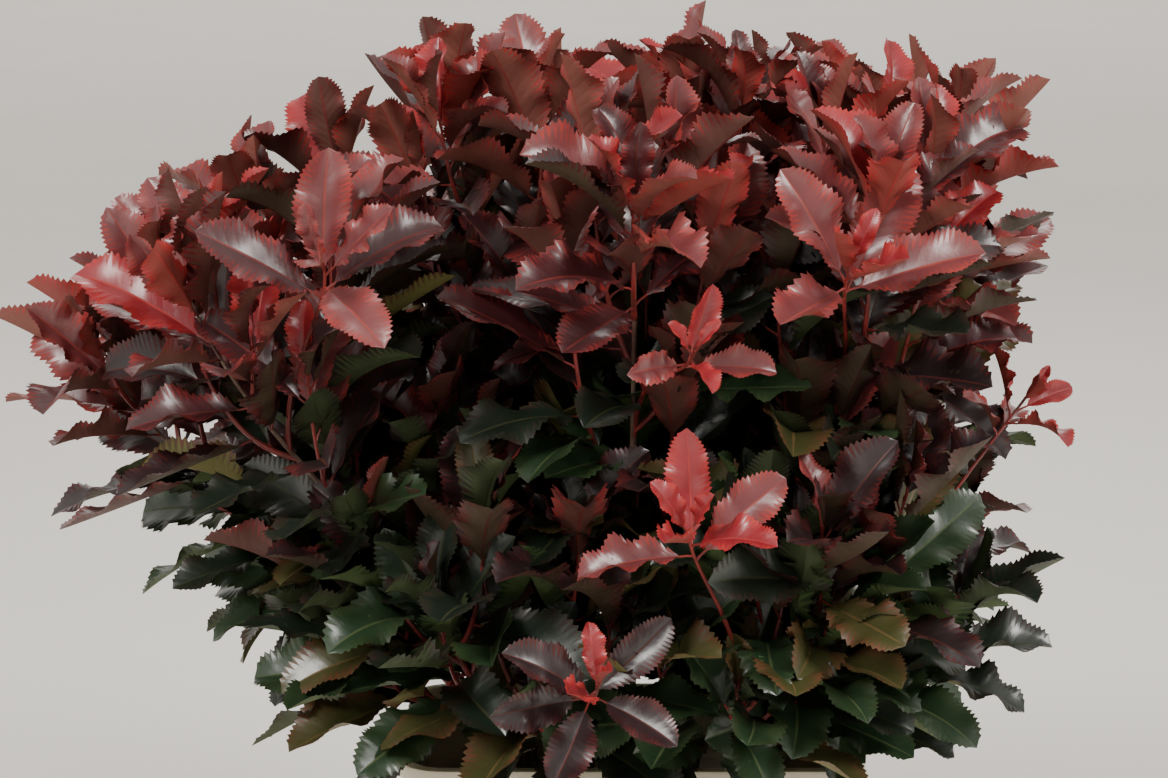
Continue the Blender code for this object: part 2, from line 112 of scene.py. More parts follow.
# How leaves vary, as shares of a leaf's length or in degrees
WIDTH_VARIES, YOUNG_NARROWER = (0.90, 1.12), 0.12
FOLD_VARIES, YOUNG_FOLD = (0.28, 0.62), 0.35
WAVE_VARIES, WAVES_VARY = (0.030, 0.085), (2.0, 3.4)
ARCH_VARIES, YOUNG_ARCH = (-6, 46), 12
UPTURNED_SHARE, UPTURNED_ARCH = 0.12, -0.35
TWIST_VARIES, SICKLE_VARIES, ROLL_VARIES = (-32, 32), (-0.07, 0.07), (-0.10, 0.28)
ARCH_SAMPLES, ARCH_POWER = 48, 1.35
FULL_TOOTH_WIDTH = 0.08
VEIN_RELIEF = 0.0013
MIDRIB_DEPTH = 0.0075

# Leaf colours, by tint: face, face towards the margin, underside, midrib, teeth
TINTS = {
    "crimson": (
        (0.225, 0.011, 0.018),
        (0.3, 0.02, 0.025),
        (0.27, 0.052, 0.042),
        (0.38, 0.04, 0.038),
        (0.42, 0.035, 0.03),
    ),
    "rose": (
        (0.135, 0.031, 0.034),
        (0.195, 0.04, 0.04),
        (0.2, 0.066, 0.05),
        (0.27, 0.05, 0.042),
        (0.34, 0.04, 0.035),
    ),
    "maroon": (
        (0.043, 0.011, 0.013),
        (0.07, 0.012, 0.014),
        (0.095, 0.034, 0.026),
        (0.15, 0.022, 0.02),
        (0.21, 0.022, 0.02),
    ),
    "bronze": (
        (0.017, 0.01, 0.011),
        (0.026, 0.01, 0.011),
        (0.05, 0.032, 0.018),
        (0.075, 0.018, 0.015),
        (0.09, 0.014, 0.013),
    ),
    "dark_green": (
        (0.008, 0.016, 0.01),
        (0.011, 0.019, 0.01),
        (0.04, 0.056, 0.022),
        (0.036, 0.04, 0.018),
        (0.03, 0.016, 0.012),
    ),
    "green": (
        (0.014, 0.034, 0.015),
        (0.02, 0.042, 0.016),
        (0.066, 0.1, 0.034),
        (0.06, 0.085, 0.033),
        (0.03, 0.04, 0.015),
    ),
    "olive": (
        (0.05, 0.054, 0.017),
        (0.07, 0.052, 0.019),
        (0.13, 0.12, 0.038),
        (0.12, 0.08, 0.03),
        (0.12, 0.04, 0.022),
    ),
}


class TubSizes(bpy.types.PropertyGroup):
    """Outside sizes of the tub, and its colour."""

    length: FloatProperty(
        name="Length", description="Long side at the lip", default=0.400, unit="LENGTH"
    )
    depth: FloatProperty(
        name="Depth", description="Short side at the lip", default=0.300, unit="LENGTH"
    )
    lip: FloatProperty(name="Lip", description="Width of the lip", default=0.011, unit="LENGTH")
    taper: FloatProperty(name="Taper", description="Draft of each wall", default=0.018, unit="LENGTH")
    corner: FloatProperty(
        name="Corner", description="Corner radius of the wall", default=0.030, unit="LENGTH"
    )
    colour: FloatVectorProperty(
        name="Plastic", description="Colour of the tub", default=(0.80, 0.72, 0.56), size=3, subtype="COLOR"
    )


class CrownSizes(bpy.types.PropertyGroup):
    """How far the branch tips reach from the tub's middle and above its rim."""

    left: FloatProperty(
        name="Left", description="Reach of the tips to the left", default=0.455, unit="LENGTH"
    )
    right: FloatProperty(
        name="Right", description="Reach of the tips to the right", default=0.265, unit="LENGTH"
    )
    front: FloatProperty(
        name="Front", description="Reach of the tips to the front", default=0.265, unit="LENGTH"
    )
    back: FloatProperty(
        name="Back", description="Reach of the tips to the back", default=0.265, unit="LENGTH"
    )
    tip: FloatProperty(
        name="Height", description="Height of the tips above the rim", default=0.553, unit="LENGTH"
    )
    shoulder: FloatProperty(
        name="Shoulder", description="How far the left side falls", default=0.40, subtype="FACTOR"
    )
    depth_drop: FloatProperty(
        name="Depth drop", description="Fall to the front", default=0.10, subtype="FACTOR"
    )
    tall_shoots: IntProperty(name="Shoots", description="Side shoots of a tall branch", default=8)
    low_shoots: IntProperty(name="Low shoots", description="Side shoots of a low branch", default=6)


class LeafSizes(bpy.types.PropertyGroup):
    """Sizes of a full-grown leaf."""

    length: FloatProperty(
        name="Length", description="Length of the blade", default=0.112, unit="LENGTH"
    )
    width: FloatProperty(name="Width", description="Width over length", default=0.44, subtype="FACTOR")
    thickness: FloatProperty(
        name="Thickness", description="Blade thickness", default=0.0005, unit="LENGTH"
    )
    tooth: FloatProperty(
        name="Tooth", description="Tooth over leaf length", default=0.030, subtype="FACTOR"
    )
    petiole: FloatProperty(
        name="Stalk", description="Length of the leaf stalk", default=0.010, unit="LENGTH"
    )


class BarkColours(bpy.types.PropertyGroup):
    """Colours of the bark."""

    old: FloatVectorProperty(
        name="Old bark", description="Lower stems", default=(0.075, 0.030, 0.022), size=3, subtype="COLOR"
    )
    young: FloatVectorProperty(
        name="Young bark",
        description="Shoots and leaf stalks",
        default=(0.26, 0.030, 0.026),
        size=3,
        subtype="COLOR",
    )


# Where the cuttings stand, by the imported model's rule


@dataclass
class Cutting:
    """One cut branch: its name, if it is tall, its axis, and the first sample that has leaves."""

    name: str
    tall: bool
    axis: np.ndarray
    entry: int


def bezier(points, t):
    t = np.asarray(t)[:, None]
    a, b, c, d = (np.asarray(p, float) for p in points)
    return (1 - t) ** 3 * a + 3 * (1 - t) ** 2 * t * b + 3 * (1 - t) * t**2 * c + t**3 * d


def line_length(points):
    return float(np.linalg.norm(np.diff(points, axis=0), axis=1).sum())


def evenly(points, count):
    """The same line with its points spaced evenly along it."""
    points = np.asarray(points)
    steps = np.linalg.norm(np.diff(points, axis=0), axis=1)
    along = np.concatenate([[0.0], np.cumsum(steps)])
    at = np.linspace(0.0, along[-1], count)
    return np.stack([np.interp(at, along, points[:, k]) for k in range(3)], axis=1)


def stem_axis(floor, rim, tip, lean, lift):
    """A stem rises from the floor, leans out as it passes the rim, and turns up again towards its tip."""
    start = np.array([floor[0], floor[1], FLOOR_TOP])
    rise = start + np.array([0, 0, VERTICAL_RUN])
    crossing = np.array([rim[0], rim[1], RIM_HEIGHT + RIM_RISE])
    outward = np.array([tip[0] - rim[0], tip[1] - rim[1], 0.0])
    heading = outward * (1.5 - lean) + np.array([0, 0, tip[2] - crossing[2]]) * lean
    heading /= np.linalg.norm(heading)
    below_tip = np.array(tip) - outward * TIP_PULL - np.array([0, 0, lift])
    far = np.linalg.norm(np.array(tip) - crossing)
    share = np.linspace(0, 1, AXIS_SAMPLES)
    above_rise = rise + np.array([0, 0, STRAIGHT_RISE])
    lower = bezier((rise, above_rise, crossing - heading * RIM_PULL, crossing), share)
    upper = bezier((crossing, crossing + heading * far * HEADING_PULL, below_tip, tip), share)
    return np.vstack([start, evenly(np.vstack([lower, upper[1:]]), AXIS_SAMPLES)])


def across(u, v, size, spread=(1, 1)):
    return u * size[0] * spread[0], v * size[1] * spread[1]


def cutting_of(name, tall, axis):
    return Cutting(name, tall, axis, int(np.searchsorted(axis[:, 2], RIM_HEIGHT + LEAF_START)))


def tall_cuttings(rng, crown):
    found = []
    for count, width, v in TALL_ROWS:
        for k in range(count):
            u = width * (2 * k / (count - 1) - 1)
            v_here = v * (1 - TALL_ROW_CURVE * abs(u) ** 2)
            height = RIM_HEIGHT + tip_height(crown, u, v_here) * rng.uniform(0.97, 1.0)
            x = u * (crown.left if u < 0 else crown.right)
            y = v_here * (crown.front if v_here < 0 else crown.back)
            floor = across(u, v_here, FLOOR_REACH, TALL_SPREAD)
            rim = across(u, v_here, RIM_REACH, TALL_SPREAD)
            axis = stem_axis(floor, rim, (x, y, height), TALL_LEAN, TALL_LIFT)
            found.append(cutting_of(f"tall_{len(found) + 1}", True, axis))
    return found


def ring_cuttings(kind, rng, ring):
    count, first, tips, spread, height, lean, lift = ring
    found = []
    for k in range(count):
        angle = math.radians(first) + 2 * math.pi * k / count
        u, v = math.cos(angle), math.sin(angle)
        tip = (*across(u, v, tips), RIM_HEIGHT + height * rng.uniform(0.85, 1.15))
        floor, rim = across(u, v, FLOOR_REACH, spread), across(u, v, RIM_REACH, spread)
        found.append(cutting_of(f"{kind}_{k + 1}", False, stem_axis(floor, rim, tip, lean, lift)))
    return found


def all_cuttings(crown):
    rng = random.Random(CUTTING_SEED)
    found = tall_cuttings(rng, crown)
    for kind, ring in (("short", SHORT_RING), ("low", LOW_RING)):
        found += ring_cuttings(kind, rng, ring)
    return found


# The crown's outline

SIDE_AT_RIM = 0.64
SIDE_FULL_HEIGHT = 0.22
RIGHT_SPILL = 1.42
RIGHT_SHOULDER = 0.36
BOX_SHARE = 0.02
BOX_MARGIN = 0.006
RIM_CLEARANCE = 0.006


def crown_place(crown, point):
    """Where a point lies across the crown: -1 to 1 from left to right, and from front to back."""
    u = point[0] / (crown.left if point[0] < 0 else crown.right)
    v = point[1] / (crown.front if point[1] < 0 else crown.back)
    return u, v


def tip_height(crown, u, v):
    """Height of the branch tips above the rim."""
    shoulder = crown.shoulder * (1.0 if u < 0 else RIGHT_SHOULDER)
    return crown.tip * (1 - shoulder * min(1.2, abs(u)) ** 3 - crown.depth_drop * abs(v) ** 2)


def inside_crown(crown, point):
    """True while a growing shoot is still under the crown's outline. The right side bulges further."""
    u, v = crown_place(crown, point)
    u = u / RIGHT_SPILL if u > 0 else u
    height = point[2] - RIM_HEIGHT
    side = SIDE_AT_RIM + (1 - SIDE_AT_RIM) * min(1.0, max(0.0, height) / SIDE_FULL_HEIGHT)
    return height < tip_height(crown, u, v) and math.hypot(u, v) < side * 1.02


def leaf_allowed(places, tub):
    """True if these places of a leaf are in the model's box and clear of the tub's walls."""
    low, high = np.array(CAD_BOX[0]), np.array(CAD_BOX[1])
    margin = (high - low) * BOX_SHARE + BOX_MARGIN
    if (places < low - margin).any() or (places > high + margin).any():
        return False
    below = places[:, 2] < RIM_HEIGHT + RIM_CLEARANCE
    over_length = abs(places[:, 0]) < tub.length / 2 + RIM_CLEARANCE
    over_depth = abs(places[:, 1]) < tub.depth / 2 + RIM_CLEARANCE
    return not (below & over_length & over_depth).any()


# Growth: shoots and leaves

LEADER_POINTS = 48
LEADER_RADIUS = 0.0042
SHOOT_RADIUS = 0.0026
# First and last place of side shoots on a branch, and their length against a tall branch's
SHOOT_SHARES = {True: (0.10, 0.90, 1.0), False: (0.10, 0.80, 0.75)}
SHOOT_TURNS = (0, 60, -60, 120, 180)
SHOOT_BARE = 0.018
SHOOT_STEP = 0.008
SHOOT_LONGEST = 0.24
SHOOT_SHORTEST = 0.055
SHOOT_TURN_UP = 0.110
TIP_SPACINGS = (0.002, 0.006, 0.008, 0.011, 0.014, 0.018)
LEADER_SPACING = 0.024
SHOOT_SPACING = 0.021
TIP_SIZES = (0.55, 0.70, 0.84, 0.95)
TIP_SPREADS = (9, 18, 26, 34, 41)
OLD_SPREAD = 64
FIRST_OLD_SPREAD, SPREAD_PER_METRE = 42, 110
YOUNG_RUN = 0.12
TURNS_TRIED = (0, 28, -28, 56, -56, 95)
SIZES_TRIED = (1.0, 0.8)
LEAST_ROOM = 0.004
TURN_COST = 0.00004
FACE_UP, FACE_OUT = 0.45, 1.9
LEAF_SAG = 0.12
LEAF_SPOTS = (0.3, 0.6, 1.0)
RED_DEPTH = 0.29
RED_RUN = 0.24
RED_BY_DEPTH, RED_BY_RUN = 0.62, 0.38
RED_VARIES = 0.16
TINT_STEPS = (
    (0.82, ("crimson", "rose", "rose", "maroon", "rose")),
    (0.62, ("rose", "maroon", "bronze", "maroon", "crimson", "rose")),
    (0.44, ("maroon", "bronze", "maroon", "bronze", "rose")),
    (0.26, ("bronze", "dark_green", "bronze", "maroon", "olive")),
    (0.10, ("dark_green", "dark_green", "bronze", "green")),
    (-9.0, ("dark_green", "green", "green", "olive")),
)

# Shoots that stand out in the photo: heart, the way it faces, leaf size, leaves, and tints from the heart out
FRONT_SHOOTS = (
    # Red rosette in front
    ((0.043, -0.315, 0.495), (0.10, -0.62, 0.66), 0.78, 7, ("crimson", "crimson", "rose")),
    # Dark rosette below it
    ((-0.030, -0.320, 0.370), (-0.05, -0.50, 0.80), 0.74, 8, ("crimson", "bronze", "bronze")),
    # Small red shoot above it
    ((0.046, -0.322, 0.640), (0.12, -0.62, 0.70), 0.56, 6, ("crimson", "crimson", "rose")),
    # Small red shoot at the right
    ((0.335, -0.080, 0.560), (0.45, -0.30, 0.80), 0.55, 7, ("crimson", "crimson", "rose")),
    # Tall shoot at the left
    ((-0.250, -0.250, 0.700), (-0.20, -0.55, 0.75), 0.95, 7, ("rose", "rose", "maroon")),
    # Tall shoot at the right
    ((0.170, -0.270, 0.700), (0.15, -0.50, 0.80), 0.95, 7, ("crimson", "rose", "rose")),
)


@dataclass
class Twig:
    """A leafy shoot. A leader is a branch's own main shoot."""

    points: np.ndarray
    radius: float
    leader: bool
    tip_radius: float = 0.0011


@dataclass
class Leaf:
    """Where a leaf stands: its blade's root, its two axes, and where its stalk leaves the shoot."""

    root: Vector
    along: Vector
    face: Vector
    length: float
    tint: str
    youth: float
    stalk: Vector


def sideways(axis, turn):
    """A unit vector square to the axis, turned about it."""
    out = Vector((1, 0, 0)).cross(axis)
    out = out.normalized() if out.length > 1e-6 else Vector((0, 1, 0))
    return (Matrix.Rotation(turn, 3, axis) @ out).normalized()


def place_on(points, distance):
    """The point and direction at this distance from the line's end."""
    steps = np.linalg.norm(np.diff(points, axis=0), axis=1)
    along = np.concatenate([[0.0], np.cumsum(steps)])
    at = max(0.0, along[-1] - distance)
    k = min(int(np.searchsorted(along, at, side="right")) - 1, len(steps) - 1)
    part = (at - along[k]) / steps[k]
    point = points[k] + (points[k + 1] - points[k]) * part
    return Vector(point), Vector(points[k + 1] - points[k]).normalized()


def grow_shoot(crown, start, axis, turn, lively):
    """A shoot leaves its stem sideways, bends up, and stops under the crown's outline."""
    heading = (sideways(axis, turn) * 0.76 + axis * 0.62).normalized()
    points = [np.array(start)]
    place = start.copy()
    while len(points) * SHOOT_STEP < SHOOT_LONGEST * lively:
        heading = (heading + UP * SHOOT_TURN_UP).normalized()
        place = place + heading * SHOOT_STEP
        if not inside_crown(crown, place):
            break
        points.append(np.array(place))
    return np.array(points)


def twigs_of(cutting, crown, rng):
    leader = Twig(evenly(cutting.axis[cutting.entry :], LEADER_POINTS), LEADER_RADIUS, True)
    found = [leader]
    count = crown.tall_shoots if cutting.tall else crown.low_shoots
    first, last, size = SHOOT_SHARES[cutting.tall]
    length = line_length(leader.points)
    turn = rng.uniform(0, 2 * math.pi)
    for k in range(count):
        share = first + (last - first) * (k + rng.uniform(0.2, 0.8)) / count
        start, axis = place_on(leader.points, length * (1 - share))
        turn += GOLDEN_ANGLE
        lively = rng.uniform(0.75, 1.05) * size
        for more in SHOOT_TURNS:
            points = grow_shoot(crown, start, axis, turn + math.radians(more), lively)
            if line_length(points) > SHOOT_SHORTEST:
                found.append(Twig(points, SHOOT_RADIUS, False))
                break
    return found


def tint_of(redness, rng):
    return rng.choice(next(names for least, names in TINT_STEPS if redness > least))


class Grower:
    """Places leaves one by one, each where it has most room."""

    def __init__(self, leaf, tub, crown):
        self.leaf, self.tub, self.crown = leaf, tub, crown
        self.taken = np.zeros((1, 3)) - 9.0

    def room(self, places):
        return np.linalg.norm(self.taken[None] - places[:, None], axis=2).min()

    def try_leaf(self, twig, point, axis, turn, spread, length):
        side = sideways(axis, turn)
        along = (axis * math.cos(spread) + side * math.sin(spread)).normalized()
        face = axis + UP * FACE_UP + Vector((point.x, point.y, 0.0)) * FACE_OUT
        face = (face - along * face.dot(along)).normalized()
        radius = twig.radius * 0.6
        stalk = point + side * radius * 0.5
        root = point + side * radius + along * self.leaf.petiole
        sag = -face * length * LEAF_SAG
        places = np.array([tuple(root + along * length * s + sag * s) for s in LEAF_SPOTS])
        return places, root, along, face, stalk

    def add(self, twig, point, axis, turn, spread, length, tint, youth):
        best, best_room = None, LEAST_ROOM
        for scale in SIZES_TRIED:
            for more in TURNS_TRIED:
                found = self.try_leaf(twig, point, axis, turn + math.radians(more), spread, length * scale)
                if not leaf_allowed(found[0], self.tub):
                    continue
                room = self.room(found[0]) - abs(more) * TURN_COST
                if room > best_room:
                    best, best_room = (found, scale), room
            if best:
                break
        if not best:
            return None
        (places, root, along, face, stalk), scale = best
        self.taken = np.concatenate([self.taken, places])
        return Leaf(root, along, face, length * scale, tint, youth, stalk)


def spacing_at(twig, count):
    if count < len(TIP_SPACINGS):
        return TIP_SPACINGS[count]
    return LEADER_SPACING if twig.leader else SHOOT_SPACING


def redness_at(crown, point, distance, rng):
    """How red a leaf is: by its depth under the crown's top, and by its distance from its shoot's tip."""
    buried = tip_height(crown, *crown_place(crown, point)) - (point.z - RIM_HEIGHT)
    redness = RED_BY_DEPTH * (1 - buried / RED_DEPTH) + RED_BY_RUN * (1 - distance / RED_RUN)
    return redness + rng.uniform(-RED_VARIES, RED_VARIES)


def leaves_of(twig, grower, rng):
    """Leaves in a spiral from the tip down: small and upright first, then full-grown and spread wide."""
    total = line_length(twig.points)
    bare = 0.0 if twig.leader else SHOOT_BARE
    distance, count, found = 0.0, 0, []
    turn = rng.uniform(0, 2 * math.pi)
    while True:
        distance += spacing_at(twig, count) * rng.uniform(0.9, 1.1)
        if distance > total - bare:
            return found
        point, axis = place_on(twig.points, distance)
        turn += GOLDEN_ANGLE + rng.uniform(-0.15, 0.15)
        size = TIP_SIZES[count] if count < len(TIP_SIZES) else 1.0
        spread = min(OLD_SPREAD, FIRST_OLD_SPREAD + distance * SPREAD_PER_METRE)
        if count < len(TIP_SPREADS):
            spread = TIP_SPREADS[count]
        redness = redness_at(grower.crown, point, distance, rng)
        length = grower.leaf.length * size * rng.uniform(0.86, 1.10)
        youth = max(0.0, 1 - distance / YOUNG_RUN)
        spread = math.radians(spread + rng.uniform(-8, 8))
        leaf = grower.add(twig, point, axis, turn, spread, length, tint_of(redness, rng), youth)
        if leaf:
            found.append(leaf)
        count += 1


def nearest_branch(cuttings, heart, facing):
    """The branch and the place on it that a standing-out shoot grows from: below and behind its heart."""
    wanted = Vector(heart) - Vector(facing).normalized() * 0.12 - UP * 0.05
    choices = []
    for index, cutting in enumerate(cuttings):
        leafy = cutting.axis[cutting.entry + 1 :]
        away = np.linalg.norm(leafy - np.array(wanted), axis=1)
        choices.append((float(away.min()), index, int(away.argmin())))
    _, index, at = min(choices)
    cutting = cuttings[index]
    return index, Vector(cutting.axis[cutting.entry + 1 + at])


def front_shoots(cuttings, grower):
    """The shoots that stand out in the photo, with their leaves, by the branch that they grow from."""
    found = {}
    rng = random.Random(CUTTING_SEED + 7)
    for heart, facing, size, count, tints in FRONT_SHOOTS:
        heart, facing = Vector(heart), Vector(facing).normalized()
        index, start = nearest_branch(cuttings, heart, facing)
        rise = start + (UP * 0.6 + facing * 0.4).normalized() * (heart - start).length * 0.4
        line = bezier((start, rise, heart - facing * 0.05, heart), np.linspace(0, 1, 14))
        twig = Twig(line, 0.0024, False)
        leaves = []
        turn = rng.uniform(0, 2 * math.pi)
        for k in range(count):
            point, axis = place_on(line, 0.003 + 0.0065 * k)
            turn += GOLDEN_ANGLE
            scale = min(1.0, 0.42 + 0.16 * k)
            spread = math.radians(min(66, 16 + 10 * k))
            length = grower.leaf.length * size * scale
            tint = tints[min(2, k * 3 // count)]
            leaf = grower.add(twig, point, axis, turn, spread, length, tint, 0.8 - 0.08 * k)
            if leaf:
                leaves.append(leaf)
        found.setdefault(index, []).append((twig, leaves))
    return found


# Leaf meshes


@dataclass
class LeafGrid:
    """The grid that every leaf shares: where each point lies, and how the faces join the points."""

    along: np.ndarray
    column: np.ndarray
    tooth: np.ndarray
    layer: np.ndarray
    relief: np.ndarray
    faces: list
    regions: list


def leaf_grid():
    """A closed, toothed blade. Its margin, its two ends and its teeth belong to both of its skins."""
    along, column, tooth, layer, relief, faces, regions = [], [], [], [], [], [], []
    numbers = {}

    def point(skin, row, k, tip=False):
        margin = k in (0, len(LEAF_COLUMNS) - 1)
        shared = margin or tip or row in (0, LEAF_ROWS)
        key = (0 if shared else skin, row, k, tip)
        if key not in numbers:
            side = LEAF_COLUMNS[k]
            place = (row + (0.82 if tip else 0.0)) / LEAF_ROWS
            slant = 0.085 * abs(side) * math.sin(math.pi * min(1.0, place))
            numbers[key] = len(along)
            along.append(min(1.0, place + slant))
            column.append(side)
            tooth.append(1.0 if tip else 0.0)
            layer.append(key[0])
            vein = (1 if row % 2 else -1) * (0.3 < abs(side) < 0.9) * (0 < row < LEAF_ROWS - 2)
            relief.append(vein)
        return numbers[key]

    def face(skin, corners, region):
        faces.append(corners if skin > 0 else corners[::-1])
        regions.append(region)

    last = len(LEAF_COLUMNS) - 1
    for skin in (1, -1):
        blade = 0 if skin > 0 else 1
        for row in range(LEAF_ROWS):
            for k in range(1, last - 1):
                cell = ((row, k), (row, k + 1), (row + 1, k + 1), (row + 1, k))
                quad = [point(skin, *place) for place in cell]
                rib = max(abs(LEAF_COLUMNS[k]), abs(LEAF_COLUMNS[k + 1])) < 0.1
                face(skin, quad, 2 if rib else blade)
            for inner, outer, flip in ((last - 1, last, 1), (1, 0, -1)):
                a, b = point(skin, row, inner), point(skin, row + 1, inner)
                c, d = point(skin, row, outer), point(skin, row + 1, outer)
                if row == 0:
                    cells = [((a, c, b), blade), ((c, d, b), blade)]
                elif row == LEAF_ROWS - 1:
                    cells = [((a, c, d), blade), ((a, d, b), blade)]
                else:
                    t = point(skin, row, outer, True)
                    cells = [((a, c, t), 3), ((a, t, b), blade), ((b, t, d), 3)]
                for cell, region in cells:
                    face(skin * flip, list(cell), region)
    arrays = [np.array(values, float) for values in (along, column, tooth, layer, relief)]
    return LeafGrid(*arrays, faces, regions)


def half_width(along):
    """The leaf's outline: a narrow base, widest past the middle, and a short point."""
    shape = along**0.95 * (1 - along) ** 0.70
    return np.maximum(shape / (0.95**0.95 * 0.70**0.70 / 1.65**1.65), 0.012)


def summed(values, step):
    """Each row's running total of the distance covered."""
    middles = (values[:, 1:] + values[:, :-1]) / 2
    return np.concatenate([np.zeros((len(values), 1)), np.cumsum(middles, axis=1) * step], axis=1)


def leaf_points(grid, leaves, sizes, rng):
    """Every leaf's points, a row for each leaf, with its own fold, wave, arch, twist and sickle."""
    count = len(leaves)
    youth = np.array([leaf.youth for leaf in leaves])[:, None]
    length = np.array([leaf.length for leaf in leaves])[:, None]
    root, along, face = (
        np.array([tuple(getattr(leaf, part)) for leaf in leaves]) for part in ("root", "along", "face")
    )
    right = np.cross(along, face)

    def draw(low, high):
        return rng.uniform(low, high, (count, 1))

    width = sizes.width * draw(*WIDTH_VARIES) * (1 - YOUNG_NARROWER * youth)
    fold = draw(*FOLD_VARIES) + YOUNG_FOLD * youth
    wave, waves = draw(*WAVE_VARIES), draw(*WAVES_VARY)
    phase, other_phase = draw(0, 1), draw(0, 1)
    arch = np.radians(draw(*ARCH_VARIES) + YOUNG_ARCH * youth)
    arch = np.where(draw(0, 1) < UPTURNED_SHARE, UPTURNED_ARCH * arch, arch)
    twist = np.radians(draw(*TWIST_VARIES))
    sickle, roll = draw(*SICKLE_VARIES), draw(*ROLL_VARIES)

    # The arched midrib, sampled finely: how far ahead and how far up it runs
    angle = arch * np.linspace(0, 1, ARCH_SAMPLES)[None] ** ARCH_POWER
    step = 1.0 / (ARCH_SAMPLES - 1)
    run, rise = summed(np.cos(angle), step), summed(-np.sin(angle), step)
    place = grid.along * (ARCH_SAMPLES - 1)
    low = np.minimum(place.astype(int), ARCH_SAMPLES - 2)
    part = (place - low)[None]

    def at(table):
        return table[:, low] * (1 - part) + table[:, low + 1] * part

    # Across the blade: its outline and teeth, then its fold, rolled margin, wave, veins and skin
    y, side = grid.along[None], grid.column[None]
    half = half_width(grid.along)[None] * width / 2
    tooth = grid.tooth[None] * sizes.tooth * np.minimum(1.0, half / FULL_TOOTH_WIDTH)
    x = side * half + np.sign(side) * tooth
    ripple = np.where(side > 0, phase, other_phase)
    z = fold * np.abs(x) - roll * np.abs(x) * np.abs(side) ** 2
    z = z + wave * np.sin(2 * np.pi * (waves * y + ripple)) * np.abs(side) ** 2 * np.sin(np.pi * y)
    z = z + grid.relief[None] * VEIN_RELIEF * np.sin(np.pi * y)
    skin = grid.layer[None] * sizes.thickness / 2 / length
    rib = (np.abs(side) < 0.1) & (grid.layer[None] < 0)
    z = z + skin - rib * MIDRIB_DEPTH * (1 - y)

    bend, turn = arch * y**ARCH_POWER, twist * y
    sideway = x * np.cos(turn) - z * np.sin(turn) + sickle * y**2
    lifted = x * np.sin(turn) + z * np.cos(turn)
    ahead = at(run) + lifted * np.sin(bend)
    above = at(rise) + lifted * np.cos(bend)
    points = root[:, None, :]
    for distance, axis in ((sideway, right), (ahead, along), (above, face)):
        points = points + (distance * length)[:, :, None] * axis[:, None, :]
    return points


def leaf_mesh(name, leaves, grid, sizes, materials, seed):
    """All the leaves of one branch as one mesh, with a map of the blade and one with a cell for each skin."""
    rng = np.random.default_rng(seed)
    points = leaf_points(grid, leaves, sizes, rng)
    count, per_leaf = points.shape[:2]
    corners = np.array([corner for face in grid.faces for corner in face])
    totals = np.array([len(face) for face in grid.faces])
    loops = (corners[None] + np.arange(count)[:, None] * per_leaf).ravel()
    starts = np.concatenate([[0], np.cumsum(totals)[:-1]])
    starts = (starts[None] + np.arange(count)[:, None] * len(corners)).ravel()

    used = sorted({leaf.tint for leaf in leaves}, key=list(TINTS).index)
    tint = np.array([used.index(leaf.tint) for leaf in leaves])
    regions = np.array(grid.regions)
    slots = (tint[:, None] * len(REGIONS) + regions[None]).ravel()

    mesh = bpy.data.meshes.new(name)
    mesh.vertices.add(count * per_leaf)
    mesh.vertices.foreach_set("co", points.ravel())
    mesh.loops.add(len(loops))
    mesh.loops.foreach_set("vertex_index", loops.astype(np.int32))
    mesh.polygons.add(len(starts))
    mesh.polygons.foreach_set("loop_start", starts.astype(np.int32))
    mesh.polygons.foreach_set("material_index", slots.astype(np.int32))
    mesh.update(calc_edges=True)
    mesh.shade_smooth()

    ends = np.empty(len(mesh.edges) * 2, np.int32)
    mesh.edges.foreach_get("vertices", ends)
    margin = np.tile(grid.layer == 0, count)[ends].reshape(-1, 2).all(axis=1)
    mesh.edges.foreach_set("use_edge_sharp", margin)

    blade = np.stack([0.5 + 0.5 * grid.column[corners], grid.along[corners]], axis=1)
    under = np.repeat(np.arange(len(grid.faces)) >= len(grid.faces) // 2, totals)
    cells = math.ceil(math.sqrt(count * 2))
    number = np.arange(count)[:, None] * 2 + under[None]
    cell = np.stack([number % cells, number // cells], axis=2)
    spread = (cell + 0.06 + 0.88 * blade[None]) / cells
    for layer, places in (("blade", np.tile(blade, (count, 1))), ("OFBake", spread)):
        mesh.uv_layers.new(name=layer).uv.foreach_set("vector", places.ravel().astype(np.float32))
    for shade in used:
        for region in REGIONS:
            mesh.materials.append(materials[shade, region])
    return mesh


# Wood

STEM_RINGS, STEM_SIDES = 64, 10
STEM_FOOT_RADIUS = 0.0054
SCAR_LENGTH = 0.0028


